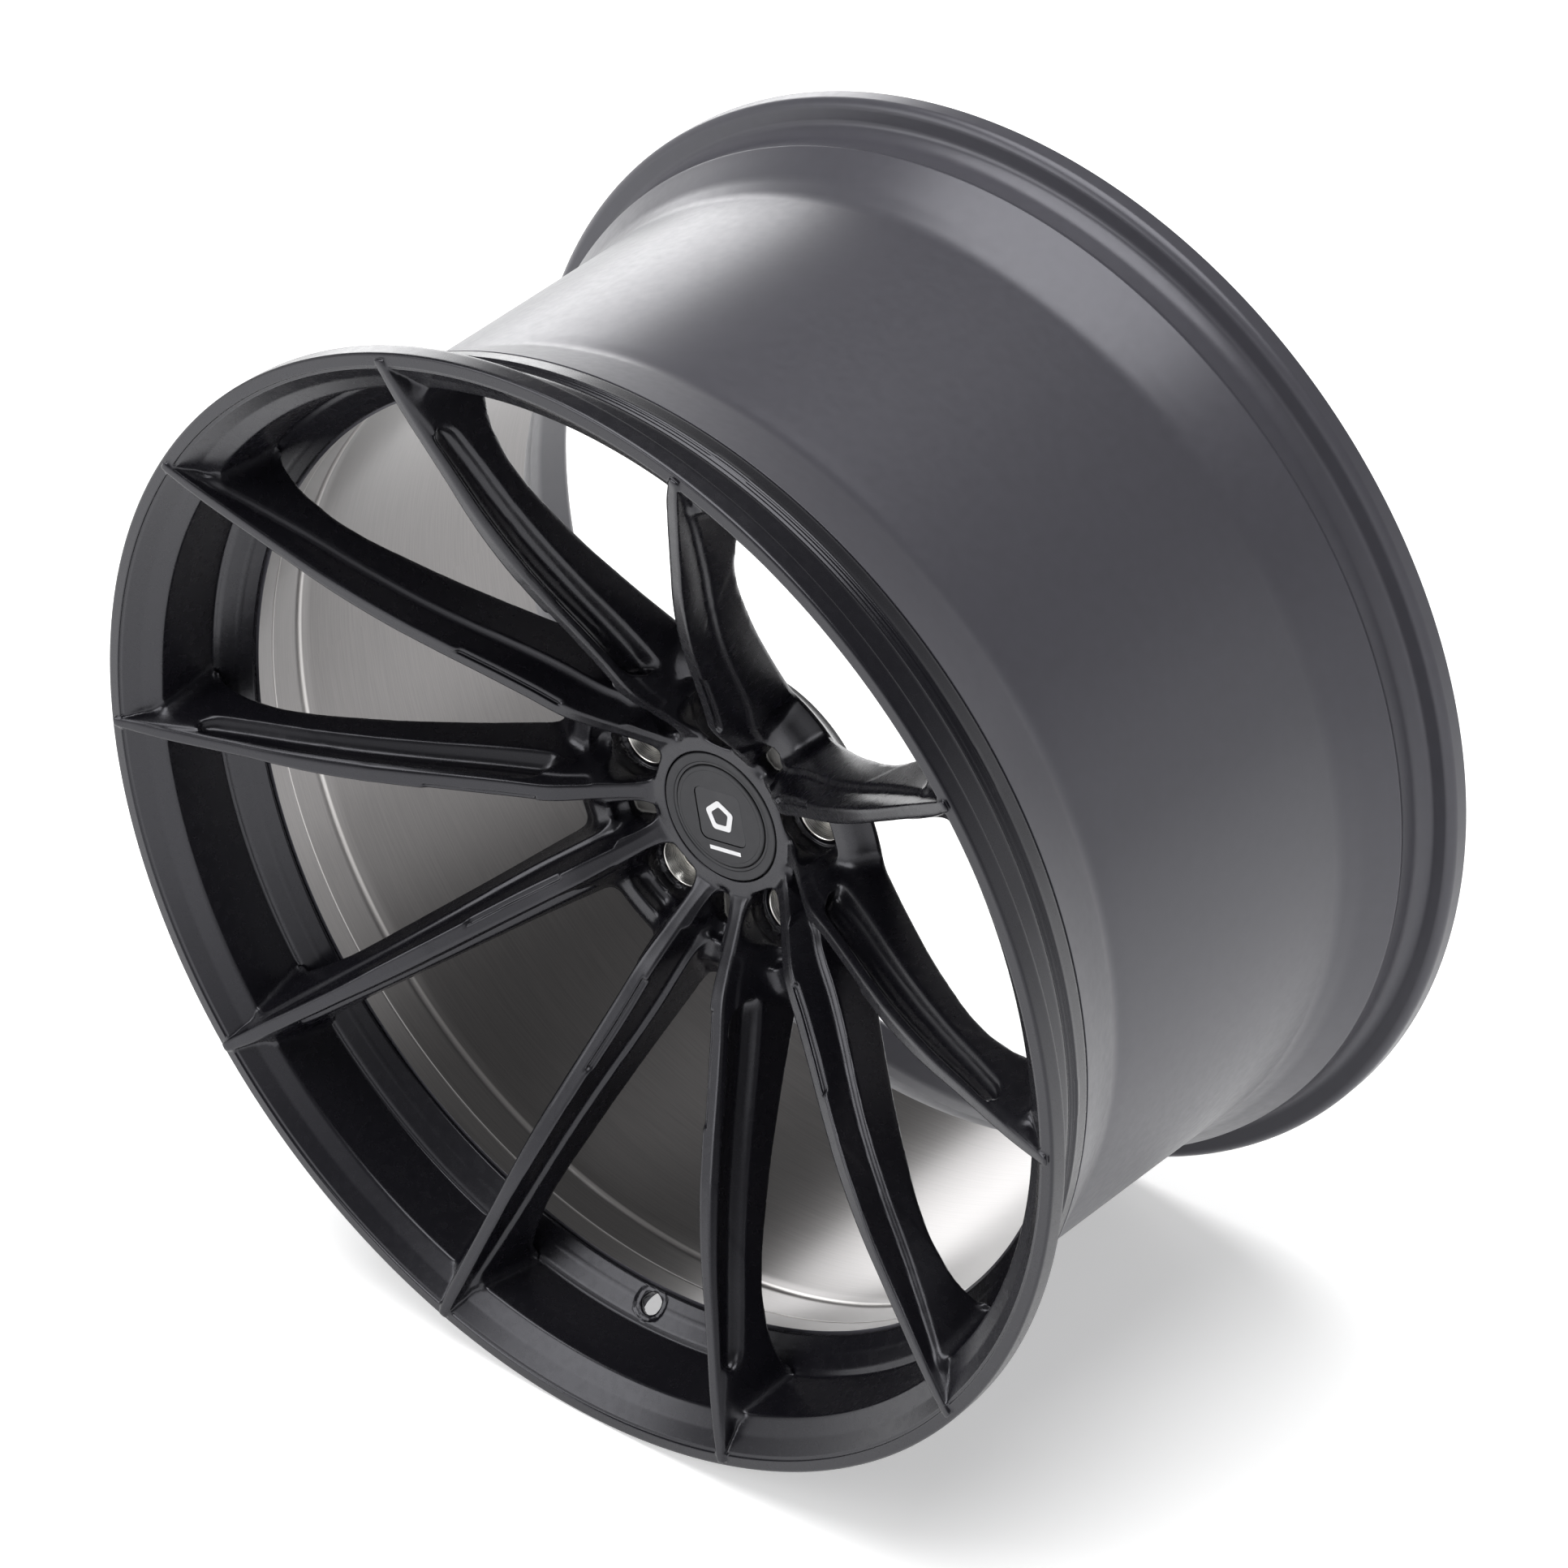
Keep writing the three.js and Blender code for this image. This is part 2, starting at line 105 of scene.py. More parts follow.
# ---- one spoke: side profile, then half widths of its section, each against the radius ----
RIDGE_Y = curve((30, 117), (41, 117), (45, 114.5), (60, 102), (70, 93), (80, 85), (100, 74.4), (120, 63.5),
                (140, 52.3), (160, 41.8), (180, 32.6), (200, 24.6), (220, 17.8), (240, 11), (260, 4.5),
                (275, 0.2), (285, -TIP_PROUD), (292, -TIP_PROUD))
BACK_Y = curve((30, 149.5), (60, 149.4), (80, 135), (100, 118), (120, 103.5), (140, 89.8), (160, 76.5),
               (180, 64.5), (200, 53.5), (220, 45.5), (240, 41.5), (250, 42.2), (262, 43), (292, 43.5))
RIDGE_WIDE = curve((36, 15), (44, 9.5), (56, 7.6), (80, 9), (100, 9.2), (140, 8.3), (200, 7.1), (260, 6.2),
                   (285, 5))
RIDGE_LEAN = curve((36, 2.2), (60, 2.8), (100, 3.2), (285, 0))
LEDGE_IN = curve((36, 11.5), (60, 12.5), (100, 12), (150, 9.6), (200, 6.8), (240, 5), (262, 4.2), (285, 2.6))
LEDGE_OUT = curve((36, 11.9), (61, 12.9), (70, 15.4), (100, 15.1), (150, 12.4), (200, 9.4), (240, 7.4),
                  (262, 6), (285, 2.9))
LEDGE_DEEP = curve((36, 8), (60, 16), (100, 16.6), (150, 14.6), (200, 13.5), (240, 9.8), (262, 6.5), (285, 2))
LEDGE_DROP = curve((36, 1.5), (100, 1.6), (240, 1.4), (262, 1.2), (285, 0.8))
BACK_NEAR = curve((36, 17), (60, 19), (100, 18), (140, 16.3), (180, 14.6), (220, 13), (250, 13.5), (262, 12),
                  (271, 5), (285, 2.8))
BACK_FAR = curve((36, 13), (60, 14), (100, 13), (140, 11), (180, 10.5), (220, 10.7), (250, 12.5), (262, 11),
                 (271, 5), (285, 2.8))
POCKET_TOP = curve((36, 2), (60, 2.6), (100, 3.2), (200, 4.6), (240, 4.6), (262, 4), (285, 2.7))
POCKET_LIP = curve((36, 9), (60, 9.5), (100, 8.8), (200, 8), (240, 7.6), (262, 6.5), (285, 2.75))
POCKET_TALL = curve((36, 17), (60, 21), (100, 22), (150, 21), (200, 18), (240, 14), (262, 10), (285, 5.6))
POCKET_DEEP = 4.3
POCKET_FROM, POCKET_TO = 83.0, 245.0
NOTCH_WIDE, NOTCH_DEEP = 2.6, 1.9
NOTCH_FROM, NOTCH_TO = 87.0, 133.0
LIP_BLEND = curve((240, 11), (260, 9), (264, 7), (268, 2.5), (272, 0.9), (290, 0.8))
LIP_EDGE_R, LIP_EDGE_Y = 264.6, 13.9

# ---- turned outlines (r, y) ----
SEAM_OUT, SEAM_MID, SEAM_IN = 264.8, 252.5, 244.4
SEAM_OUT_Y, SEAM_IN_Y = 53.5, 59.3
LIP = [(286.4, 0.7), (286.4, 9.2), (283.4, 11.85), (273.6, 11.85), (270.4, 13.4), (269.1, 17), (267.9, 39),
       (SEAM_OUT, SEAM_OUT_Y), (SEAM_MID, SEAM_OUT_Y), (SEAM_MID, SEAM_IN_Y), (SEAM_IN, SEAM_IN_Y),
       (257.7, 45.6), (260.6, 44.7), (LIP_EDGE_R, LIP_EDGE_Y), (272.4, 7.9), (279, 1), (279.6, 0), (285.7, 0)]


# ---- distance fields ----
def smin(a, b, k):
    """The smaller of two distances, with a fillet of about radius k where they are alike."""
    h = np.maximum(k - np.abs(a - b), 0) / k
    return np.minimum(a, b) - h * h * k / 4


def smax(a, b, k):
    return -smin(-a, -b, k)


def beyond(s, t, s0, t0, s1, t1):
    """Distance beyond the line from (s0, t0) to (s1, t1), positive on its +s side where t1 > t0."""
    ds, dt = s1 - s0, t1 - t0
    return ((s - s0) * dt - (t - t0) * ds) / np.hypot(ds, dt)


def tilt(f, r):
    """How much shorter the true distance to a sloping curve is than the distance along y."""
    return 1 / np.sqrt(1 + ((f(r + 0.5) - f(r - 0.5))) ** 2)


def inset(points, by):
    """The closed outline moved inwards by a distance, keeping its corners."""
    p = np.array(points, float)
    if np.sum(p[:, 0] * np.roll(p[:, 1], -1) - np.roll(p[:, 0], -1) * p[:, 1]) < 0:
        p = p[::-1]
    edge = np.roll(p, -1, 0) - p
    normal = np.stack([-edge[:, 1], edge[:, 0]], 1) / np.hypot(*edge.T)[:, None]
    moved = []
    for i in range(len(p)):
        n0, n1 = normal[i - 1], normal[i]
        moved.append(p[i] + (n0 + n1) * by / (1 + n0 @ n1))
    return np.array(moved)


def outline_distance(points, r, y):
    """Signed distance to a closed outline in the (r, y) plane, negative inside."""
    best = np.full(np.broadcast(r, y).shape, 1e9)
    inside = np.zeros(best.shape, bool)
    for a, b in zip(points, np.roll(points, -1, 0)):
        e = b - a
        t = np.clip(((r - a[0]) * e[0] + (y - a[1]) * e[1]) / (e @ e), 0, 1)
        best = np.minimum(best, (r - a[0] - t * e[0]) ** 2 + (y - a[1] - t * e[1]) ** 2)
        crosses = (a[1] > y) != (b[1] > y)
        if e[1] != 0:
            inside ^= crosses & (r < a[0] + (y - a[1]) / e[1] * e[0])
    return np.where(inside, -1, 1) * np.sqrt(best)


GROOVE_R, GROOVE_Y, GROOVE_SIZE = 279.2, 0.2, 1.0
BEAD_GROOVES = ((268.5, 36.6), (268.1, 39.2), (267.4, 41.8))
EDGE = 0.8
LIP_CORE = inset(LIP, EDGE)


def lip_field(r, y):
    return outline_distance(LIP_CORE, r, y) - EDGE


def spoke_fields(r, phi, y):
    """The ridge bar's sides, its top and the broader ledge body of the spoke at SPOKE_AT."""
    s = r * np.sin(phi - SPOKE_AT)
    front, back = RIDGE_Y(r), BACK_Y(r)
    t = y - front
    full = back - front
    lean, half = RIDGE_LEAN(r), RIDGE_WIDE(r) / 2
    tall = POCKET_TALL(r)
    fit = np.minimum(1, full / (tall + 4))
    deep, drop = LEDGE_DEEP(r) * fit, (LEDGE_DEEP(r) + LEDGE_DROP(r)) * fit
    tall = tall * fit

    top = -t * tilt(RIDGE_Y, r)
    near = beyond(s, t, lean + half, 0, LEDGE_IN(r), deep)
    ledge = beyond(s, t, LEDGE_IN(r), deep, LEDGE_OUT(r), drop)
    low = beyond(s, t, LEDGE_OUT(r), drop, BACK_NEAR(r), full)
    far = beyond(-s, t, half - lean, 0, POCKET_TOP(r), tall * 0.21)
    far = smax(far, beyond(-s, t, POCKET_TOP(r), tall * 0.21, POCKET_LIP(r), tall), 2)
    far = smax(far, beyond(-s, t, POCKET_LIP(r), tall, BACK_FAR(r), full), 3)

    floor = POCKET_TOP(r) - POCKET_DEEP
    high = tall * 0.22 - t
    sill = -beyond(-s, t, floor, tall * 0.78, POCKET_LIP(r), tall * 0.99)
    ends = np.maximum(POCKET_FROM + 0.25 * np.clip(tall - t, 0, 20) - r, r - POCKET_TO)
    pocket = smax(smax(high, sill, 3), ends, 9)
    pocket = smax(pocket, s + floor, 3.5)
    far = smax(far, -pocket, 1.4)

    notch = np.maximum(lean + half - NOTCH_WIDE - s, t - NOTCH_DEEP)
    notch = np.maximum(notch, np.maximum(NOTCH_FROM - r, r - NOTCH_TO) * 0.7 - (NOTCH_DEEP - t) * 0.7)
    top = smax(top, -notch, 0.5)
    face = LIP_EDGE_Y - (r - LIP_EDGE_R) * 0.88
    tip = np.maximum(r - TIP_R, np.minimum(r - LIP_EDGE_R - 1, y - face - 1.5))
    arm = smax(smax(smax(near, low, 1), far, 1.5), tip, 1)
    base = smax(smax(smax(ledge, low, 1.0), far, 1.6), np.maximum(tip, 1 - t), 1)
    return arm, top, base


def forging(r, phi, y, lip=None, valve=False):
    """Distance to the forged centre. phi is 0 at a lug window's middle and 36 degrees at a wide one's."""
    phi = WEDGE - np.abs(WEDGE - np.abs(phi))
    arm, top, base = spoke_fields(r, phi, y)
    crowded = r < CROWDED_R
    if crowded.any():
        own = [a[crowded] for a in (r, phi, y)]
        for twin in (-own[1], 2 * WEDGE - own[1]):
            twin_arm, _, twin_base = spoke_fields(own[0], twin, own[2])
            arm[crowded] = smin(arm[crowded], twin_arm, 9)
            base[crowded] = smin(base[crowded], twin_base, 7)

    wide = np.clip((phi - SPOKE_AT) / (4 * DEG) + 0.5, 0, 1)
    wide = wide * wide * (3 - 2 * wide)
    ring = r - (40.6 - 2.6 * wide)

    wall_r, edge_r, edge_y = 77.8 - 8.6 * wide, 87.6 - 6.4 * wide, 110.6 + 1.2 * wide
    rear_r = 98.4 - 3 * wide
    rear_y = BACK_Y(rear_r)
    outer = beyond(r, y, edge_r, edge_y, rear_r, rear_y)
    web = smax(smax(edge_y - y, outer, 2.5), wall_r - r - 0.1 * (y - edge_y), 1.6)
    land = smax(LAND_Y - y, outer, 2)
    hub = smin(web, land, 5)
    base = smin(base, hub, 7)
    body = smax(smin(smin(arm, ring, 9), base, 1.8), top, 1.4)
    rear = smin((y - BACK_Y(r)) * tilt(BACK_Y, r), smax(y - PAD_Y, r - 66, 1.5), 3)
    body = smax(body, rear, 1.6)
    lip = lip_field(r, y) if lip is None else lip
    filled = smax(smin(body, lip, LIP_BLEND(r)), y - 44.6, 0.8)
    body = smin(smin(body, lip, 1.2), filled, 0.4)

    groove = np.hypot(r - GROOVE_R, y - GROOVE_Y) - GROOVE_SIZE
    body = smax(body, -smax(groove, 1.5 - arm, 0.5), 0.25)
    for bead_r, bead_y in BEAD_GROOVES:
        body = smax(body, 1.1 - np.hypot(r - bead_r, y - bead_y), 0.3)

    u, v = r * np.cos(phi) - LUG_CIRCLE, r * np.sin(phi)
    lug = np.hypot(u, v)
    body = smax(body, -np.maximum(lug - 16.4 + 0.9 * np.clip((LAND_Y - y) / 3, 0, 1), y - 126.9), 0.7)
    body = smax(body, -np.maximum(lug - 14.6, y - 128.2), 0.5)
    body = smax(body, -np.maximum(lug - 14.0, y - SEAT_FOOT_Y - 0.3), 0.5)
    body = smax(body, -(lug - 8.2), 0.5)

    u, v = r * np.cos(phi - WEDGE) - 54.6, r * np.sin(phi - WEDGE)
    slot = np.hypot(np.maximum(np.abs(u) - 4.6, 0), np.maximum(np.abs(v) - 1.4, 0)) - 4.4
    body = smax(body, -smax(slot, np.maximum(y - 124.2, 116.5 - y), 1.2), 2.2)

    bore = np.minimum(np.maximum(r - 34.3, y - 121.2), np.maximum(r - 31.2, y - 132.6))
    bore = np.minimum(bore, np.maximum(r - 33.3, 132.4 - y))
    body = smax(body, -bore, 0.4)
    if valve:
        outward, inboard = r * np.cos(phi - WEDGE) - VALVE_R, y - VALVE_Y
        off_axis = np.hypot((outward - inboard) * ROOT_HALF, r * np.sin(phi - WEDGE))
        deep = (outward + inboard) * ROOT_HALF
        body = smax(body, -(off_axis - VALVE_HOLE), 0.5)
        body = smax(body, -np.maximum(off_axis - VALVE_BACK, VALVE_WALL - deep), 0.5)
        body = smax(body, -np.maximum(off_axis - VALVE_SPOT, deep - 0.7), 0.4)
    return body


def spaced(*stops):
    """Grid lines between (place, spacing) stops, each stretch at its own spacing."""
    lines = [stops[0][0]]
    for (a, gap), (b, _) in zip(stops, stops[1:]):
        n = max(1, round((b - a) / gap))
        lines += list(a + (b - a) * np.arange(1, n + 1) / n)
    return np.array(lines)


def wedge_mesh(valve=False):
    """One 36 degree wedge of the forging as (points, quads), its plane points exactly on the two planes."""
    r = spaced((31, 1.0), (33, 0.55), (36, 1.0), (48, 1.15), (104, 1.9), (127, 1.2), (138, 2.1), (236, 1.3),
               (252, 1.1), (277.6, 0.4), (281, 1.0), (290, 1))
    v = spaced((-6, 0.8), (-1.2, 0.5), (3, 0.95), (26, 1.4), (33.5, 0.6), (41.5, 1.4), (64, 1))
    s = spaced((-18.5, 1.15), (-5, 0.68), (11, 0.9), (17, 1.1), (19.5, 1))
    outside = 15
    squeeze = np.minimum(1, 0.262 * r / 19.5)[:, None]
    inner = SPOKE_AT + np.arcsin(s[None, :] * squeeze / r[:, None])
    share = (np.arange(outside) + 0.5) / (outside + 0.5)
    left = inner[:, :1] * share[None, :] ** 0.8
    rest = WEDGE - inner[:, -1:]
    right = WEDGE - rest * share[None, ::-1] ** 0.8
    if valve:
        close = (np.arange(17) + 0.5) * 0.62 / VALVE_R
        wider = close[-1] + (rest - close[-1]) * (np.arange(12) + 1) / 13
        right = WEDGE - np.concatenate([wider[:, ::-1], np.repeat(close[None, ::-1], len(r), 0)], 1)
    phi = np.concatenate([-left[:, :1], left, inner, right, 2 * WEDGE - right[:, -1:]], 1)
    y = RIDGE_Y(r)[:, None] + v[None, :]
    shape = (len(r), phi.shape[1], len(v))
    rr = np.broadcast_to(r[:, None, None], shape)
    pp = np.broadcast_to(phi[:, :, None], shape)
    yy = np.broadcast_to(y[:, None, :], shape)
    field = forging(rr, pp, yy, np.broadcast_to(lip_field(r[:, None], y)[:, None, :], shape), valve)
    solid = field < 0

    # a cell with both signs among its corners gets one point, the mean of its edge crossings
    n = tuple(m - 1 for m in shape)
    corner = [np.s_[a:a + n[0], b:b + n[1], c:c + n[2]] for a in (0, 1) for b in (0, 1) for c in (0, 1)]
    count = sum(solid[c].astype(np.int8) for c in corner)
    cells = np.argwhere((count > 0) & (count < 8))
    number = np.full(n, -1)
    number[tuple(cells.T)] = np.arange(len(cells))
    total = np.zeros((len(cells), 3))
    hits = np.zeros(len(cells))
    offsets = [np.array((a, b, c)) for a in (0, 1) for b in (0, 1) for c in (0, 1)]
    for a in range(8):
        for axis in range(3):
            if offsets[a][axis]:
                continue
            other = offsets[a].copy()
            other[axis] = 1
            i, j = tuple((cells + offsets[a]).T), tuple((cells + other).T)
            f0, f1 = field[i], field[j]
            cross = (f0 < 0) != (f1 < 0)
            w = np.where(cross, f0 / np.where(cross, f0 - f1, 1), 0)
            for axis3, grid in enumerate((rr, pp, yy)):
                total[:, axis3] += np.where(cross, grid[i] + w * (grid[j] - grid[i]), 0)
            hits += cross
    point = total / hits[:, None]
    on_left, on_right = cells[:, 1] == 0, cells[:, 1] == n[1] - 1

    def pin():
        point[on_left, 1] = 0
        point[on_right, 1] = WEDGE

    pin()
    for _ in range(4):
        value, slope = gradient(point, valve)
        size = np.maximum((slope ** 2).sum(1), 0.25)
        move = np.clip(value / size, -0.8, 0.8)[:, None] * slope
        point[:, 0] -= move[:, 0]
        point[:, 1] -= move[:, 1] / point[:, 0]
        point[:, 2] -= move[:, 2]
        pin()

    # a grid line that changes sign between two corners gives the quad of the four cells round it
    quads = []
    for axis in range(3):
        b, c = [k for k in range(3) if k != axis]
        low = [slice(None)] * 3
        high = [slice(None)] * 3
        low[axis], high[axis] = slice(0, -1), slice(1, None)
        flips = np.argwhere(solid[tuple(low)] != solid[tuple(high)])
        ok = (flips[:, b] > 0) & (flips[:, b] < shape[b] - 1)
        ok &= (flips[:, c] > 0) & (flips[:, c] < shape[c] - 1)
        if axis == 1:
            ok &= (flips[:, 1] > 0) & (flips[:, 1] < n[1] - 1)
        flips = flips[ok]
        ring = []
        for db, dc in ((0, 0), (-1, 0), (-1, -1), (0, -1)):
            cell = flips.copy()
            cell[:, b] += db
            cell[:, c] += dc
            ring.append(number[tuple(cell.T)])
        ring = np.stack(ring, 1)
        outward = solid[tuple(flips.T)] == (axis == 1)
        ring[~outward] = ring[~outward][:, ::-1]
        quads.append(ring)
    return point, np.concatenate(quads)


def gradient(point, valve=False, step=0.05):
    """The field and its slope along r, round the axle and along y at each (r, phi, y) point."""
    r, phi, y = point.T
    value = forging(r, phi, y, valve=valve)
    slope = np.stack([
        forging(r + step, phi, y, valve=valve) - forging(r - step, phi, y, valve=valve),
        forging(r, phi + step / r, y, valve=valve) - forging(r, phi - step / r, y, valve=valve),
        forging(r, phi, y + step, valve=valve) - forging(r, phi, y - step, valve=valve)], 1) / (2 * step)
    return value, slope


def to_row(r, theta, y):
    """Cylinder coordinates of the wheel, in mm and radians, to the row frame in metres."""
    return np.stack([r * np.cos(theta) * MM, y * MM + FRONT_PLANE, r * np.sin(theta) * MM], -1)


def full_centre():
    """The wedge mirrored and turned into the whole forging, welded, as (points, faces)."""
    plain, with_valve = wedge_mesh(), wedge_mesh(valve=True)
    points, faces = [], []
    total = 0
    for k in range(LUGS):
        middle = FIRST_LUG - 72 * k
        for side in (1, -1):
            point, quads = with_valve if middle + 36 * side == -90 else plain
            points.append(to_row(point[:, 0], middle * DEG + side * point[:, 1], point[:, 2]))
            faces.append((quads if side > 0 else quads[:, ::-1]) + total)
            total += len(point)
    points, faces = np.concatenate(points), np.concatenate(faces)
    key = np.round(points / (0.002 * MM)).astype(np.int64)
    _, first, back = np.unique(key, axis=0, return_index=True, return_inverse=True)
    faces = back.ravel()[faces]
    return points[first], faces


# ---- mesh building ----
def mesh_object(name, points, faces, materials, face_material=None):
    """A smooth-shaded object from an array of points and an array of quads."""
    mesh = bpy.data.meshes.new(name)
    count, sides = faces.shape
    mesh.vertices.add(len(points))
    mesh.vertices.foreach_set("co", np.ascontiguousarray(points, np.float32).ravel())
    mesh.loops.add(count * sides)
    mesh.loops.foreach_set("vertex_index", faces.astype(np.int32).ravel())
    mesh.polygons.add(count)
    mesh.polygons.foreach_set("loop_start", np.arange(0, count * sides, sides, dtype=np.int32))
    for m in materials:
        mesh.materials.append(m)
    if face_material is not None:
        mesh.polygons.foreach_set("material_index", face_material.astype(np.int32))
    mesh.update(calc_edges=True)
    mesh.validate()
    obj = bpy.data.objects.new(name, mesh)
    bpy.context.scene.collection.objects.link(obj)
    return obj


def weld(obj, distance=1e-6):
    bm = bmesh.new()
    bm.from_mesh(obj.data)
    bmesh.ops.remove_doubles(bm, verts=bm.verts, dist=distance)
    bmesh.ops.dissolve_degenerate(bm, edges=bm.edges, dist=distance)
    bmesh.ops.recalc_face_normals(bm, faces=bm.faces)
    bm.to_mesh(obj.data)
    bm.free()
    return obj


def shade(obj, sharp=40):
    """Smooth shading whose normals lean to the larger faces, so flats stay flat beside small rounds."""
    mesh = obj.data
    if sharp:
        mesh.polygons.foreach_set("use_smooth", np.ones(len(mesh.polygons), bool))
        mesh.set_sharp_from_angle(angle=sharp * DEG)
        lean = obj.modifiers.new("flat_first", "WEIGHTED_NORMAL")
        lean.keep_sharp = True
        lean.weight = 90
        return obj
    corners = np.zeros(len(mesh.loops), np.int32)
    mesh.loops.foreach_get("vertex_index", corners)
    totals = np.zeros(len(mesh.polygons), np.int32)
    mesh.polygons.foreach_get("loop_total", totals)
    area = np.zeros(len(mesh.polygons), np.float32)
    mesh.polygons.foreach_get("area", area)
    facing = np.zeros(len(mesh.polygons) * 3, np.float32)
    mesh.polygons.foreach_get("normal", facing)
    weighted = np.repeat(facing.reshape(-1, 3) * area[:, None], totals, 0)
    normal = np.stack([np.bincount(corners, weighted[:, k], len(mesh.vertices)) for k in range(3)], 1)
    length = np.linalg.norm(normal, axis=1, keepdims=True)
    normal = np.where(length > 0, normal / np.maximum(length, 1e-30), (0, 0, 1))
    mesh.polygons.foreach_set("use_smooth", np.ones(len(mesh.polygons), bool))
    mesh.normals_split_custom_set_from_vertices([tuple(n) for n in normal])
    return obj


def rounded(corners, steps=5):
    """A closed outline from (r, y, rounding) corners, each turned into a short curve."""
    out = []
    for i, (r, y, size) in enumerate(corners):
        here = np.array((r, y), float)
        before = np.array(corners[i - 1][:2], float) - here
        after = np.array(corners[(i + 1) % len(corners)][:2], float) - here
        if size <= 0:
            out.append(here)
            continue
        reach = min(size, 0.45 * np.hypot(*before), 0.45 * np.hypot(*after))
        start = here + before / np.hypot(*before) * reach
        end = here + after / np.hypot(*after) * reach
        for t in np.linspace(0, 1, steps):
            out.append((1 - t) ** 2 * start + 2 * t * (1 - t) * here + t * t * end)
    return np.array(out)


def turn(outline, segments, centre=(0, 0), wobble=None):
    """Points and quads of a closed (r, y) outline turned about an axis along Y."""
    r, y = outline.T
    if np.sum(r * np.roll(y, -1) - np.roll(r, -1) * y) > 0:
        r, y = r[::-1], y[::-1]
    angle = 2 * np.pi * np.arange(segments) / segments
    radius = np.broadcast_to(r, (segments, len(r))).copy()
    if wobble:
        radius += wobble(angle[:, None], r[None, :], y[None, :])
    points = to_row(radius, angle[:, None], np.broadcast_to(y, radius.shape))
    points = points + np.array((centre[0] * MM, 0, centre[1] * MM))
    n = len(r)
    i, j = np.meshgrid(np.arange(segments), np.arange(n), indexing="ij")
    i1, j1 = (i + 1) % segments, (j + 1) % n
    quads = np.stack([i * n + j, i1 * n + j, i1 * n + j1, i * n + j1], -1)
    return points.reshape(-1, 3), quads.reshape(-1, 4)


def turned(name, outline, segments, materials, pick=None, centre=(0, 0), wobble=None):
    points, quads = turn(outline, segments, centre, wobble)
    index = None
    if pick:
        middle = points[quads].mean(1)
        radius = np.hypot(middle[:, 0] / MM - centre[0], middle[:, 2] / MM - centre[1])
        index = pick(radius, (middle[:, 1] - FRONT_PLANE) / MM)
    return mesh_object(name, points, quads, materials, index)


def cut(obj, tool):
    """Takes the tool's volume out of obj."""
    change = obj.modifiers.new("cut", "BOOLEAN")
    change.operation = "DIFFERENCE"
    change.solver = "EXACT"
    change.object = tool
    bpy.context.view_layer.update()
    result = bpy.data.meshes.new_from_object(obj.evaluated_get(bpy.context.evaluated_depsgraph_get()))
    obj.modifiers.clear()
    old = obj.data
    obj.data = result
    bpy.data.meshes.remove(old)
    bpy.data.objects.remove(tool)
    return obj


# ---- node materials ----
class Nodes:
    """Small helper that adds nodes to a material and links them."""

    def __init__(self, name):
        self.material = bpy.data.materials.new(name)
        self.material.use_nodes = True
        self.tree = self.material.node_tree
        self.shader = self.tree.nodes["Principled BSDF"]
        self.where = self.add("ShaderNodeTexCoord").outputs["Object"]

    def add(self, kind, inputs=None, **settings):
        node = self.tree.nodes.new(kind)
        for key, value in settings.items():
            setattr(node, key, value)
        for key, value in (inputs or {}).items():
            if isinstance(value, bpy.types.NodeSocket):
                self.tree.links.new(value, node.inputs[key])
            else:
                node.inputs[key].default_value = value
        return node

    def set(self, **values):
        for key, value in values.items():
            socket = self.shader.inputs[key.replace("_", " ")]
            if isinstance(value, bpy.types.NodeSocket):
                self.tree.links.new(value, socket)
            else:
                socket.default_value = value

    def math(self, operation, a, b=0.0):
        return self.add("ShaderNodeMath", {0: a, 1: b}, operation=operation).outputs[0]

    def noise(self, scale, detail=2.0, vector=None, roughness=0.5):
        inputs = {"Vector": vector or self.where, "Scale": scale, "Detail": detail, "Roughness": roughness}
        return self.add("ShaderNodeTexNoise", inputs).outputs["Fac"]

    def ramp(self, value, low, high, start=0.0, end=1.0):
        inputs = {"Value": value, "From Min": start, "From Max": end, "To Min": low, "To Max": high}
        return self.add("ShaderNodeMapRange", inputs).outputs["Result"]

    def blend(self, share, a, b):
        node = self.add("ShaderNodeMix", {"Factor": share}, data_type="RGBA")
        for socket, value in ((node.inputs[6], a), (node.inputs[7], b)):
            if isinstance(value, bpy.types.NodeSocket):
                self.tree.links.new(value, socket)
            else:
                socket.default_value = (*value, 1)
        return node.outputs[2]

    def bump(self, height, strength, distance, onto=None):
        inputs = {"Height": height, "Strength": strength, "Distance": distance}
        if onto:
            inputs["Normal"] = onto
        return self.add("ShaderNodeBump", inputs).outputs["Normal"]

    def turned_lines(self, scale, centre=(0.0, 0.0), streak=0.0):
        """Noise that changes along the profile but hardly round the axle: lathe marks."""
        part = self.add("ShaderNodeSeparateXYZ", {0: self.where})
        x = self.math("SUBTRACT", part.outputs[0], centre[0])
        z = self.math("SUBTRACT", part.outputs[2], centre[1])
        radius = self.math("SQRT", self.math("ADD", self.math("MULTIPLY", x, x), self.math("MULTIPLY", z, z)))
        around = self.math("MULTIPLY", self.math("ARCTAN2", z, x), streak)
        vector = self.add("ShaderNodeCombineXYZ", {0: radius, 1: part.outputs[1], 2: around}).outputs[0]
        return self.noise(scale, 3, vector, 0.6)


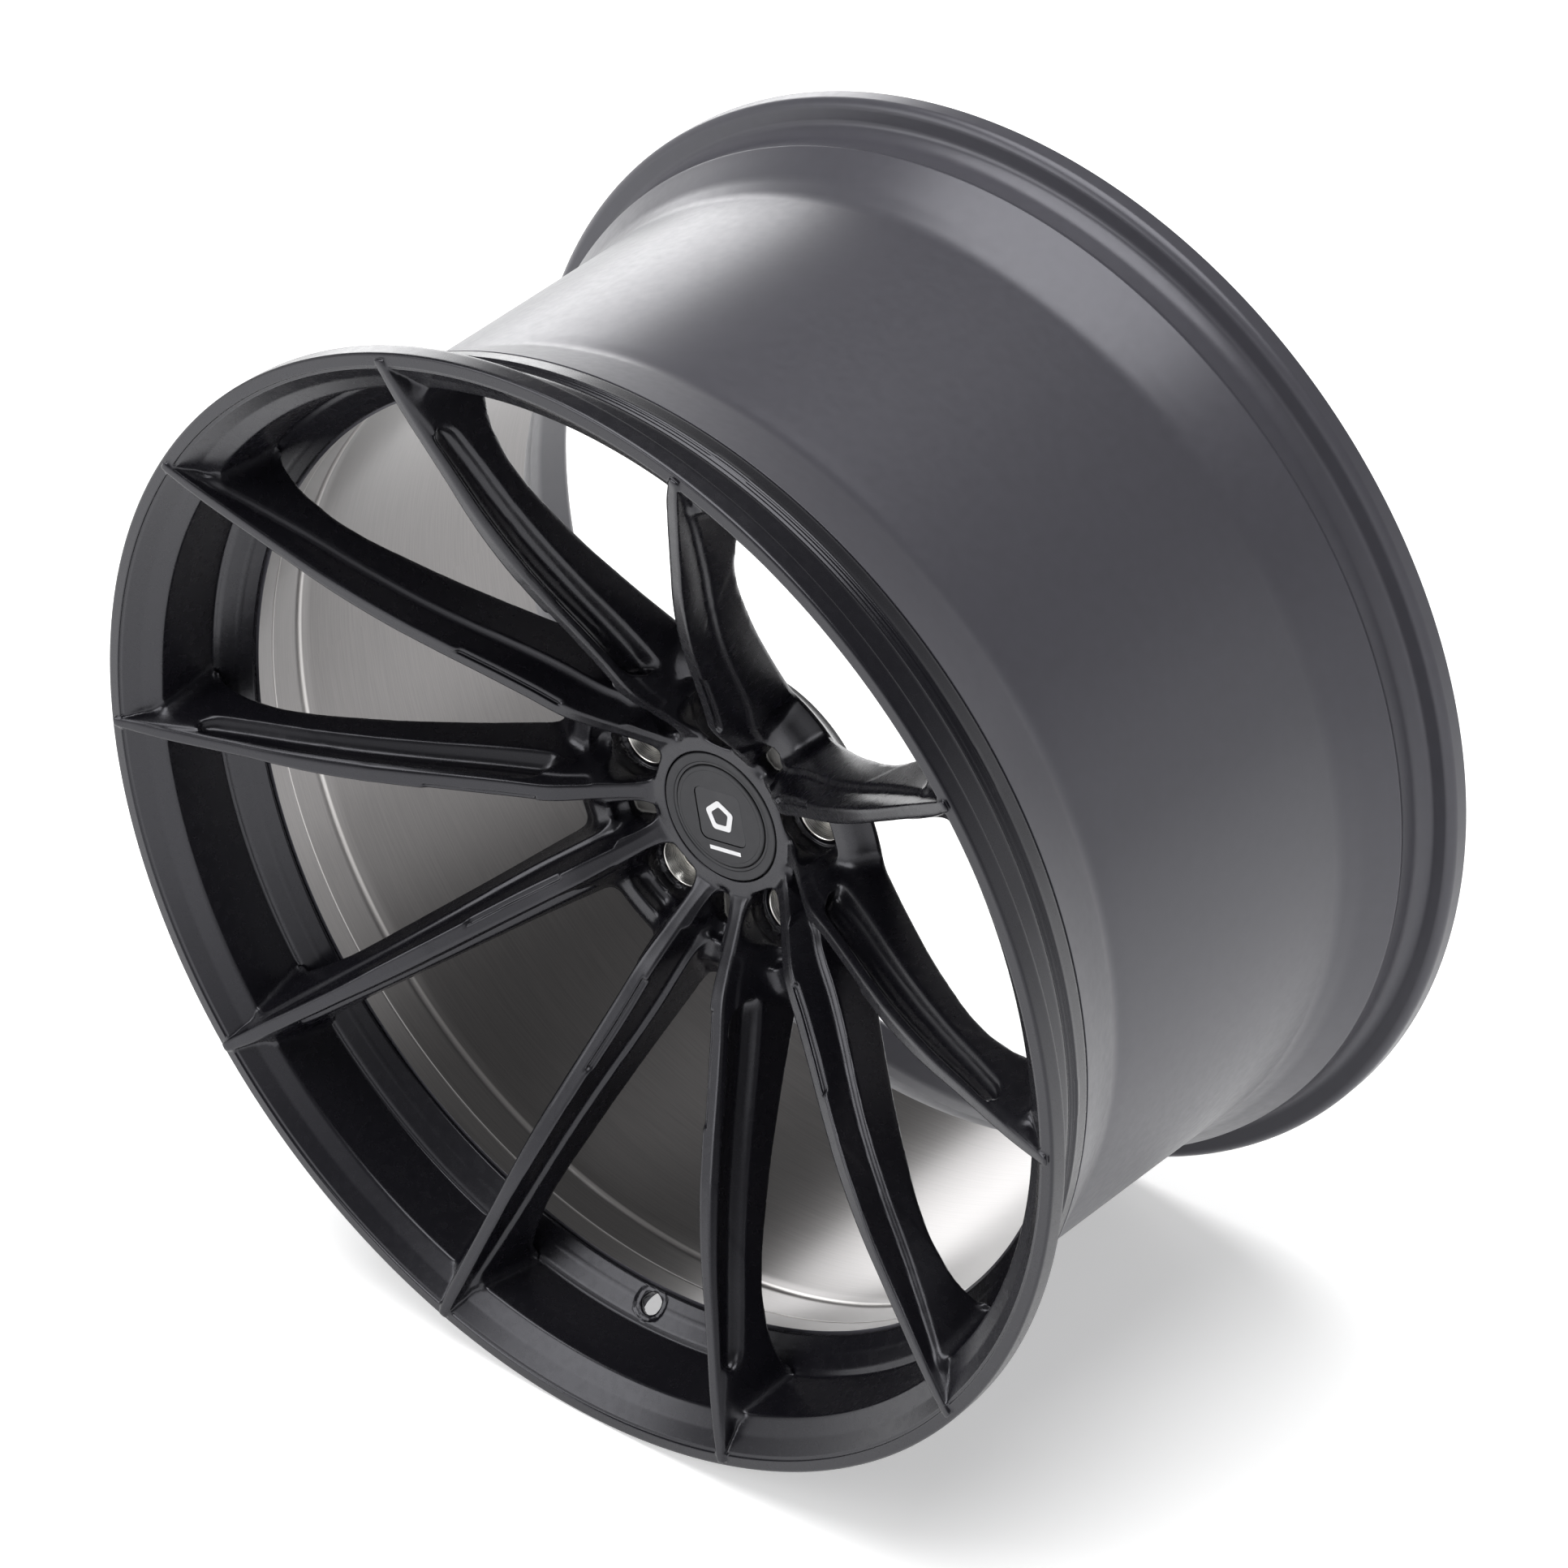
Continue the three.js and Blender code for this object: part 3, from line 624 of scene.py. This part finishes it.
def satin(name, light, dark, roughness, specks=True, lines=0.0, bar=False):
    """Satin finish with fine orange peel and slight mottling: specks, lathe lines or a white bar if asked."""
    n = Nodes(name)
    colour = n.blend(n.ramp(n.noise(160, 4), 0, 1, 0.3, 0.7), dark, light)
    rough = n.ramp(n.noise(220, 4), roughness - 0.02, roughness + 0.03, 0.3, 0.7)
    if specks:
        spots = n.add("ShaderNodeTexVoronoi", {"Vector": n.where, "Scale": 95.0}, feature="F1")
        speck = n.ramp(spots.outputs["Distance"], 1, 0, 0.016, 0.024)
        red = n.add("ShaderNodeSeparateColor", {0: spots.outputs["Color"]}).outputs[0]
        rare = n.ramp(red, 0, 1, 0.96, 0.97)
        share = n.math("MULTIPLY", n.math("MULTIPLY", speck, rare), 0.3)
        colour = n.blend(share, colour, (0.35, 0.34, 0.33))
    peel = n.bump(n.noise(1500, 1), 0.03, 0.00005)
    if lines:
        peel = n.bump(n.turned_lines(1500), lines, 0.0001, peel)
    if bar:
        part = n.add("ShaderNodeSeparateXYZ", {0: n.where})
        cosine, sine = math.cos(PLATE_TILT * DEG), math.sin(PLATE_TILT * DEG)
        x, z = part.outputs[0], part.outputs[2]
        across = n.math("ADD", n.math("MULTIPLY", x, cosine), n.math("MULTIPLY", z, sine))
        up = n.math("SUBTRACT", n.math("MULTIPLY", z, cosine), n.math("MULTIPLY", x, sine))
        wide = n.math("LESS_THAN", n.math("ABSOLUTE", across), 0.0096)
        tall = n.math("LESS_THAN", n.math("ABSOLUTE", n.math("ADD", up, 0.0182)), 0.0011)
        colour = n.blend(n.math("MULTIPLY", wide, tall), colour, (0.75, 0.75, 0.76))
    n.set(Base_Color=colour, Roughness=rough, Normal=peel, Metallic=0.0, Specular_IOR_Level=0.5)
    n.set(Specular_Tint=(0.93, 0.93, 1.0, 1))
    return n.material


def bare_metal(name, light, dark, roughness, lines, centre=(0.0, 0.0), scale=2600, coat=0.0, around=0.0,
               rings=()):
    """Turned or brushed bare metal with lathe lines in its colour, gloss and surface, and paler rings that
    are painted highlights.
    """
    n = Nodes(name)
    line = n.turned_lines(scale, centre, around)
    broad = n.noise(14, 2)
    share = n.math("ADD", n.math("MULTIPLY", line, 0.85), n.math("MULTIPLY", broad, 0.15))
    colour = n.blend(n.ramp(share, 0, 1, 0.35, 0.65), dark, light)
    depth = n.add("ShaderNodeSeparateXYZ", {0: n.where}).outputs[1]
    # painted highlight: a paler band in the colour at each ring station, standing in for the bright line a
    # bead catches from the light
    for station, half in rings:
        off_highlight_ring = n.math("ABSOLUTE", n.math("SUBTRACT", depth, station * MM + FRONT_PLANE))
        colour = n.blend(n.ramp(off_highlight_ring, 0.85, 0, half * 0.4 * MM, half * MM), colour, (0.62, 0.6, 0.59))
    rough = n.ramp(line, roughness - 0.02, roughness + 0.03, 0.3, 0.7)
    n.set(Base_Color=colour, Roughness=rough, Metallic=1.0, Normal=n.bump(line, lines, 0.00006))
    n.set(Coat_Weight=coat, Coat_Roughness=0.2)
    return n.material


def chattered_metal():
    """Raw milled pocket floor with short cutter marks."""
    n = Nodes("raw_pocket_floor")
    marks = n.add("ShaderNodeTexWave", {"Vector": n.where, "Scale": 420.0, "Distortion": 6.0, "Detail": 3.0,
                                        "Detail Scale": 2.0})
    colour = n.blend(n.ramp(marks.outputs["Fac"], 0.2, 0.8), (0.07, 0.068, 0.066), (0.15, 0.147, 0.142))
    rough = n.ramp(n.noise(700, 3), 0.38, 0.55, 0.3, 0.7)
    n.set(Base_Color=colour, Roughness=rough, Metallic=1.0, Normal=n.bump(marks.outputs["Fac"], 0.35, 0.0001))
    return n.material


SATIN_BLACK = satin("satin_black_coat", (0.005, 0.0047, 0.0068), (0.0042, 0.004, 0.0058), 0.26, specks=False)
BARREL_BLACK = satin("barrel_satin_black", (0.049, 0.048, 0.057), (0.046, 0.045, 0.053), 0.32, lines=0.02)
# the rings at stations 92.6 and 71.8 are painted highlights along the inner barrel's beads
BARREL_BRUSHED = bare_metal("barrel_brushed", (0.2, 0.192, 0.19), (0.17, 0.164, 0.163), 0.3, 0.02, scale=1300,
                            coat=0.4, around=0.006, rings=((92.6, 2.2), (71.8, 0.7)))
RAW_FLOOR = chattered_metal()
KNURL = satin("seat_edge_dark", (0.07, 0.06, 0.055), (0.02, 0.018, 0.018), 0.4, specks=False)
CAP_BLACK = satin("cap_satin_black", (0.008, 0.0082, 0.0088), (0.0062, 0.0064, 0.007), 0.44)
DISC_GREY = satin("cap_disc_satin", (0.009, 0.0092, 0.0096), (0.0072, 0.0074, 0.0078), 0.46, bar=True)
PLATE_GREY = satin("badge_plate_satin", (0.012, 0.0122, 0.0128), (0.0098, 0.01, 0.0106), 0.42)
EMBLEM_WHITE = satin("emblem_white_print", (0.8, 0.8, 0.81), (0.72, 0.72, 0.73), 0.5, specks=False)


# ---- the pieces ----
def forged_centre():
    points, faces = full_centre()
    middle = points[faces].mean(1)
    station = (middle[:, 1] - FRONT_PLANE) / MM
    radius = np.hypot(middle[:, 0], middle[:, 2]) / MM
    angle = np.degrees(np.arctan2(middle[:, 2], middle[:, 0]))
    off_wide = np.abs((angle - FIRST_LUG) % 72 - 36)
    raw = (station > 123.6) & (station < 124.6) & (radius > 44) & (radius < 64) & (off_wide < 8)
    return mesh_object("forged_centre_face", points, faces, [SATIN_BLACK, RAW_FLOOR], raw)


def valve_tool(radius, start, end, name):
    """A round cutter square to the 45 degree band, at the lowest wide window."""
    bm = bmesh.new()
    bmesh.ops.create_cone(bm, segments=64, radius1=radius * MM, radius2=radius * MM, depth=(end - start) * MM,
                          cap_ends=True)
    middle = (start + end) / 2 * ROOT_HALF
    place = Matrix.Translation((0, (VALVE_Y + middle) * MM + FRONT_PLANE, -(VALVE_R + middle) * MM))
    bmesh.ops.transform(bm, matrix=place @ Matrix.Rotation(45 * DEG, 4, "X"), verts=bm.verts)
    mesh = bpy.data.meshes.new(name)
    bm.to_mesh(mesh)
    bm.free()
    obj = bpy.data.objects.new(name, mesh)
    bpy.context.scene.collection.objects.link(obj)
    return obj


def barrel():
    flange = REAR - 11.85
    corners = [
        (264.8, 53.8, 0.5), (262.9, 59.2, 4), (254.6, 82, 9), (251.8, 90.3, 5), (252.3, 100, 3),
        (256.8, 256, 4), (261, 267.5, 3), (268.4, 281.6, 3), (270.6, 285.6, 0.8), (269.6, 287.4, 0.8),
        (270.1, 298.4, 4),
        (274, flange, 2.5), (283.4, flange, 2.4), (286.4, REAR - 9.2, 2.4), (286.4, REAR - 0.7, 0.7),
        (285.7, REAR, 0.5), (273.4, REAR, 1.6), (268.2, REAR - 4.2, 2), (266.6, REAR - 7, 2), (264.4, 286, 3),
        (260.6, 275, 3), (259.6, 273.6, 0.6), (253.4, 263.4, 2), (251.2, 259, 1.5), (250.6, 259, 0.3),
        (249.4, 99, 2), (248.9, 94.4, 1.6), (248.75, 92.4, 1.2), (249.1, 90, 1.2), (247, 72.8, 0.4),
        (246.65, 72, 0.3), (246.75, 71.2, 0.3), (244.4, 59.6, 0.25), (252.8, 59.6, 0.2), (252.8, 53.8, 0.2)]
    outline = rounded(corners, 6)

    def pick(radius, station):
        inside = (radius < 245.5 + (station - 59.6) * 0.16) & (radius < 251.5)
        return (inside & (station > 59.7) & (station < 262)).astype(int)

    obj = turned("barrel_shell", outline, 360, [BARREL_BLACK, BARREL_BRUSHED], pick)
    cut(obj, valve_tool(VALVE_HOLE, -25, 30, "valve_tool"))
    return cut(obj, valve_tool(VALVE_BACK, VALVE_WALL, 30, "valve_back_tool"))


def lug_seat(k):
    angle = (FIRST_LUG - 72 * k) * DEG
    centre = (LUG_CIRCLE * math.cos(angle), LUG_CIRCLE * math.sin(angle))
    corners = [(13.7, 128.5, 0.3), (13.7, SEAT_FOOT_Y, 0.5), (7.6, SEAT_FOOT_Y, 0.4), (7.6, 135.2, 0.5),
               (12.3, 127.7, 0.5), (12.7, 127.3, 0.3), (13.4, 127.3, 0.4)]
    metal = bare_metal(f"seat_turned_{k + 1}", (0.86, 0.84, 0.8), (0.72, 0.71, 0.68), 0.27, 0.35,
                       (centre[0] * MM, centre[1] * MM), 3600)

    def knurl(a, r, y):
        return np.where((r > 12.9) & (y < 128.4), 0.13 * np.sign(np.cos(a * 72)), 0)

    def pick(radius, station):
        return ((radius > 12.75) & (station < 128.4)).astype(int)

    return turned(f"lug_seat_insert_{k + 1}", rounded(corners, 4), 288, [metal, KNURL], pick, centre, knurl)


def cap_body():
    corners = [(27.35, 117.75, 0.3), (28.7, 117.75, 0.25), (29.0, 117.25, 0.3), (30.3, 117.0, 0.6),
               (33.2, 116.8, 0.5), (33.75, 117.3, 0.4), (33.7, 120.9, 0.2), (30.8, 120.9, 0.3),
               (30.8, 129.4, 0.4), (31.05, 130.4, 0.3),
               (30.6, 131.4, 0.4), (28.6, 131.4, 0.3), (28.6, 121.6, 0.3), (0.01, 121.6, 0), (0.01, 119.4, 0),
               (27.35, 119.4, 0.2)]
    obj = weld(turned("cap_ring", rounded(corners, 5), 200, [CAP_BLACK]))
    for k in range(5):
        bm = bmesh.new()
        turn_to = Matrix.Rotation((90 - 72 * k) * DEG, 4, "Y")
        place = Matrix.Translation((30 * MM, 127.6 * MM + FRONT_PLANE, 0))
        size = Matrix.Diagonal((10 * MM, 8.5 * MM, 7 * MM, 1))
        bmesh.ops.create_cube(bm, size=1, matrix=turn_to @ place @ size)
        tool = bpy.data.objects.new("slot_tool", bpy.data.meshes.new("slot_tool"))
        bm.to_mesh(tool.data)
        bm.free()
        bpy.context.scene.collection.objects.link(tool)
        cut(obj, tool)
    return obj


def square_loop(half, corner, steps=8):
    """A rounded square's points, counter-clockwise."""
    out = []
    for q in range(4):
        for t in np.linspace(0, 90, steps):
            a = (q * 90 + t) * DEG
            cx, cz = [(1, 1), (-1, 1), (-1, -1), (1, -1)][q]
            flat = half - corner
            out.append((cx * flat + corner * math.cos(a), cz * flat + corner * math.sin(a)))
    return np.array(out)


def layered(name, layers, material, open_ends=False):
    """A flat piece facing -Y, tilted as the badge is, from [(loop of points, station)], back first."""
    a = PLATE_TILT * DEG
    spin = np.array(((math.cos(a), math.sin(a)), (-math.sin(a), math.cos(a))))
    bm = bmesh.new()
    rings = []
    for loop, station in layers:
        station = station * MM + FRONT_PLANE
        rings.append([bm.verts.new((x * MM, station, z * MM)) for x, z in loop @ spin])
    for low, high in zip(rings, rings[1:]):
        for i in range(len(low)):
            j = (i + 1) % len(low)
            bm.faces.new((low[i], low[j], high[j], high[i]))
    if not open_ends:
        bm.faces.new(rings[0])
        bm.faces.new(rings[-1])
    bmesh.ops.recalc_face_normals(bm, faces=bm.faces)
    mesh = bpy.data.meshes.new(name)
    mesh.materials.append(material)
    bm.to_mesh(mesh)
    bm.free()
    obj = bpy.data.objects.new(name, mesh)
    bpy.context.scene.collection.objects.link(obj)
    return obj


def cap_disc():
    corners = [(0.01, 117.0, 0), (24.4, 117.0, 0.1), (24.55, 117.12, 0.1), (24.7, 117.0, 0.1),
               (26.4, 117.05, 0.4), (27.0, 117.6, 0.5), (27.0, 119.0, 0.3), (0.01, 119.0, 0)]
    obj = weld(turned("cap_face_disc", rounded(corners, 5), 180, [DISC_GREY]))
    well = square_loop(14.3, 4.3)
    return cut(obj, layered("plate_tool", [(well, 117.7), (well, 116)], DISC_GREY))


def badge_plate():
    layers = [(square_loop(13.6, 3.8), 118.0), (square_loop(14.05, 4.1), 118.0),
              (square_loop(14.05, 4.1), 117.5), (square_loop(13.85, 3.95), 117.3),
              (square_loop(13.5, 3.7), 117.25)]
    return layered("badge_plate_inset", layers, PLATE_GREY)


def pentagon(radius, corner=0.16, steps=5):
    """A five-sided loop with rounded corners, a point upwards."""
    angles = [(90 + 72 * k) * DEG for k in range(5)]
    tips = [np.array((math.cos(a), math.sin(a))) * radius for a in angles]
    out = []
    for k in range(5):
        here = tips[k]
        start = here + (tips[k - 1] - here) * corner
        end = here + (tips[(k + 1) % 5] - here) * corner
        for t in np.linspace(0, 1, steps):
            out.append((1 - t) ** 2 * start + 2 * t * (1 - t) * here + t * t * end)
    return np.array(out)


def emblem():
    outer, inner = pentagon(9.0), pentagon(5.4)
    bevel_out, bevel_in = pentagon(8.8), pentagon(5.6)
    layers = [(outer, 117.2), (outer, 117.0), (bevel_out, 116.92), (bevel_in, 116.92), (inner, 117.0),
              (inner, 117.2), (outer, 117.2)]
    return weld(layered("cap_emblem_ring", layers, EMBLEM_WHITE, open_ends=True))


def finish_piece(obj, body, slot, *nodes):
    shade(obj, 0 if slot == "satin_black" else 40)
    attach(obj, body)
    if nodes:
        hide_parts(*nodes)


finish_piece(forged_centre(), "wheel", "satin_black", "forged_centre")
finish_piece(barrel(), "wheel", "barrel_finish", "barrel")
for seat in range(LUGS):
    finish_piece(lug_seat(seat), "wheel", "seat_metal", f"lug_seat_{seat + 1}")
finish_piece(cap_body(), "cap", "cap_black", "cap_body")
finish_piece(cap_disc(), "cap", "cap_disc_grey", "cap_disc")
finish_piece(badge_plate(), "cap", "badge_plate", "cap_badge_plate")
finish_piece(emblem(), "cap", "emblem_white", "cap_emblem")


# ---- floor, light and camera ----
def floor():
    size = 9.0
    mesh = bpy.data.meshes.new("floor")
    z = CAD_BOX[0][2] - 0.0004
    corners = [(-size, -size, z), (size, -size, z), (size, size, z), (-size, size, z)]
    mesh.from_pydata(corners, [], [(0, 1, 2, 3)])
    n = Nodes("floor_pale")
    colour = n.blend(n.noise(3, 2), (0.9, 0.9, 0.9), (0.93, 0.93, 0.93))
    n.set(Base_Color=colour, Roughness=0.9, Emission_Color=(1, 1, 1, 1), Emission_Strength=0.4)
    mesh.materials.append(n.material)
    obj = bpy.data.objects.new("floor", mesh)
    bpy.context.scene.collection.objects.link(obj)


def area_light(name, place, size, power):
    """A round soft light that faces the wheel's middle."""
    data = bpy.data.lights.new(name, "AREA")
    data.shape = "DISK"
    data.size = size
    data.energy = power
    obj = bpy.data.objects.new(name, data)
    obj.location = place
    obj.rotation_euler = (-Vector(place)).to_track_quat("-Z", "Y").to_euler()
    bpy.context.scene.collection.objects.link(obj)


def camera():
    """The photograph's view: 39.7 degrees round from the face, 35.1 degrees up and 2.6 m away."""
    azimuth, height, distance, right, up = 39.72 * DEG, 35.06 * DEG, 9.127, 0.3662, 0.2349
    roll = -1.907 * DEG
    level = math.cos(height)
    back = np.array((math.sin(azimuth) * level, -math.cos(azimuth) * level, math.sin(height)))
    side = np.array((math.cos(azimuth), math.sin(azimuth), 0))
    top = np.cross(back, side)
    place = (right * side + up * top + distance * back) * RIM_RADIUS * MM
    spin = np.array(((math.cos(roll), 0, -math.sin(roll)), (0, 1, 0), (math.sin(roll), 0, math.cos(roll))))
    axes = np.stack([spin @ side, spin @ top, spin @ back], 1)
    place = spin @ place + np.array((0, FRONT_PLANE, 0))
    data = bpy.data.cameras.new("camera")
    data.lens = 131.38
    data.sensor_width = 36
    data.clip_end = 50
    obj = bpy.data.objects.new("camera", data)
    matrix = Matrix([list(row) for row in axes]).to_4x4()
    matrix.translation = Vector(place)
    obj.matrix_world = matrix
    bpy.context.scene.collection.objects.link(obj)
    bpy.context.scene.camera = obj


floor()
world = bpy.data.worlds.new("studio")
world.use_nodes = True
sky = world.node_tree.nodes
where = sky.new("ShaderNodeTexCoord")
split = sky.new("ShaderNodeSeparateXYZ")
fade = sky.new("ShaderNodeMapRange")
fade.interpolation_type = "SMOOTHSTEP"
world.node_tree.links.new(where.outputs["Generated"], split.inputs[0])
world.node_tree.links.new(split.outputs[2], fade.inputs["Value"])
world.node_tree.links.new(fade.outputs["Result"], sky["Background"].inputs["Strength"])
for socket, value in (("From Min", 0.05), ("From Max", 0.5), ("To Min", 1.0), ("To Max", 0.16)):
    fade.inputs[socket].default_value = value
sky["Background"].inputs["Color"].default_value = (1, 1, 1, 1)
bpy.context.scene.world = world
bpy.context.scene.view_settings.view_transform = "Standard"
area_light("overhead", (-0.2, -0.2, 3.6), 4.0, 200)
area_light("left_behind", (-3.6, 2.7, 0.7), 2.2, 42)
area_light("front_left", (-1.9, -3.0, 1.7), 2.4, 55)
camera()
